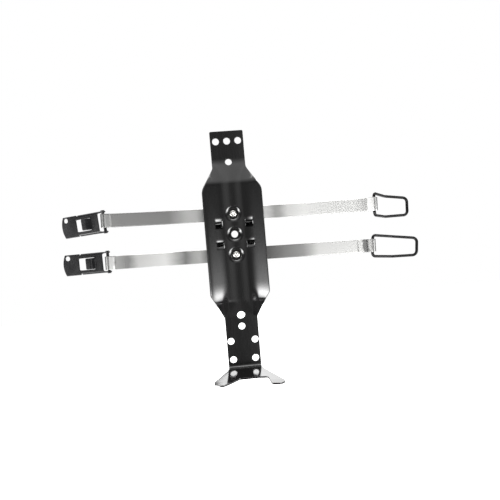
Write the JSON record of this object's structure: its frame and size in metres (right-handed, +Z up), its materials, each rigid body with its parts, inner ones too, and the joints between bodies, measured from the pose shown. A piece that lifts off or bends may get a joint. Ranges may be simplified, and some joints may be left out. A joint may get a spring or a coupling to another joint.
{
  "type": "fire extinguisher bracket",
  "caption": "Pressed steel wall bracket with a curved saddle and a foot, its bright steel straps closed by over-centre latch levers that hook kinked wire bails.",
  "frame": {"origin": "on the wall face of the upper tab, midway between its screw holes", "axes": "+X to the right along the straps towards the wire bails, +Y into the wall, +Z up along the plate; the cylinder lies on the -Y side"},
  "size_m": [0.3116, 0.0443, 0.2169],
  "materials": {
    "black_paint": "gloss black paint on pressed sheet steel",
    "lever_paint": "satin black paint on pressed sheet steel",
    "bright_steel": "bright rolled steel band",
    "rivet_steel": "bright turned steel",
    "black_wire": "black coated round wire"
  },
  "bodies": {
    "bracket": {"back_plate": "black_paint", "strap_upper": "bright_steel", "strap_lower": "bright_steel", "rivet_upper": "rivet_steel", "rivet_lower": "rivet_steel"},
    "upper_lever": {"latch_lever_upper": "lever_paint", "latch_pin_upper": "lever_paint"},
    "lower_lever": {"latch_lever_lower": "lever_paint", "latch_pin_lower": "lever_paint"},
    "upper_bail": {"wire_bail_upper": "black_wire"},
    "lower_bail": {"wire_bail_lower": "black_wire"}
  },
  "joints": [
    {"name": "upper_lever_hinge", "type": "hinge", "parent": "bracket", "child": "upper_lever", "pos_m": [-0.10884, -0.01787, -0.0538], "axis": [0.0698, 0, -0.9976], "range_deg": [-166, 136]},
    {"name": "lower_lever_hinge", "type": "hinge", "parent": "bracket", "child": "lower_lever", "pos_m": [-0.11023, -0.00682, -0.08768], "axis": [0.014, 0, -0.9999], "range_deg": [-142, 160]},
    {"name": "upper_bail_hinge", "type": "hinge", "parent": "bracket", "child": "upper_bail", "pos_m": [0.1202, -0.02335, -0.0572], "axis": [-0.0626, -0.0785, -0.9949], "range_deg": [-110, 210]},
    {"name": "lower_bail_hinge", "type": "hinge", "parent": "bracket", "child": "lower_bail", "pos_m": [0.12255, -0.00475, -0.09314], "axis": [-0.1044, -0.0523, -0.9932], "range_deg": [-160, 159]}
  ]
}
